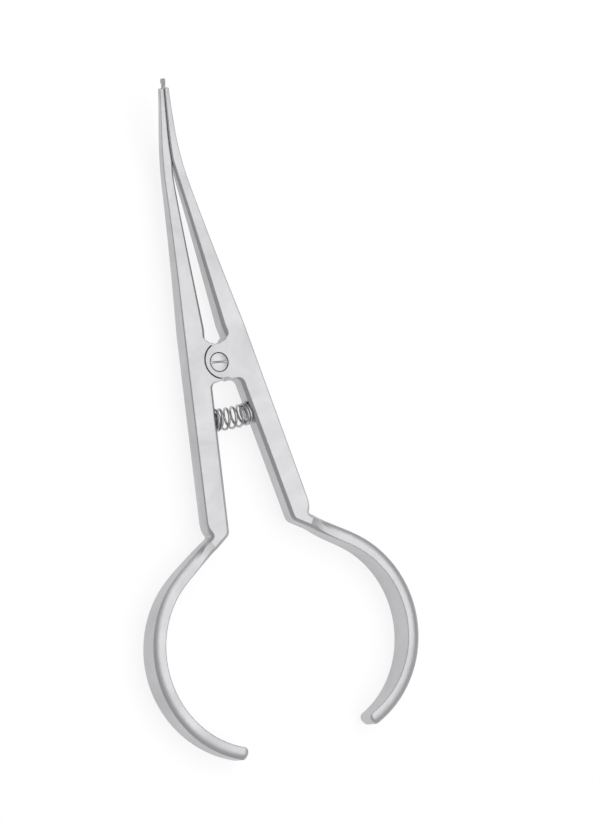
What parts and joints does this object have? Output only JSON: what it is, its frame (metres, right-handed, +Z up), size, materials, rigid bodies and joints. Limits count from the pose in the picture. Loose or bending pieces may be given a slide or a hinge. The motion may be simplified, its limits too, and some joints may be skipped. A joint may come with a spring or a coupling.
{
  "type": "elastic separating pliers",
  "caption": "Spring-closed orthodontic pliers with slim upturned jaws, nubbed tips, a screw lap joint and two open finger rings, all in satin stainless steel",
  "frame": {"origin": "at the middle of the lap joint's round ears, level with the flat underside of the joint and handles; the pivot axis is 0.79 mm from it", "axes": "+Y along the closed jaws toward the tips, +X toward the right arm, +Z up through the pivot screw's head, the side the tips bend to"},
  "size_m": [0.067, 0.1564, 0.0128],
  "materials": {
    "satin_steel": "satin, fine bead-blasted grain with worn bright edges",
    "screw_steel": "turned and lightly polished",
    "spring_wire": "drawn wire, bright"
  },
  "bodies": {
    "left_half": {"left_arm": "satin_steel", "pivot_screw": "screw_steel", "return_spring": "spring_wire", "left_spring_peg": "screw_steel"},
    "right_half": {"right_arm": "satin_steel", "right_spring_peg": "screw_steel"}
  },
  "joints": [
    {"name": "jaw_hinge", "type": "hinge", "parent": "left_half", "child": "right_half", "pos_m": [-0.00075, -0.00025, 0.0025], "axis": [0, 0, -1], "range_deg": [0, 14], "stiffness_Nm_per_rad": 0.5, "springref_deg": -8.59, "deforming": ["return_spring"]}
  ]
}
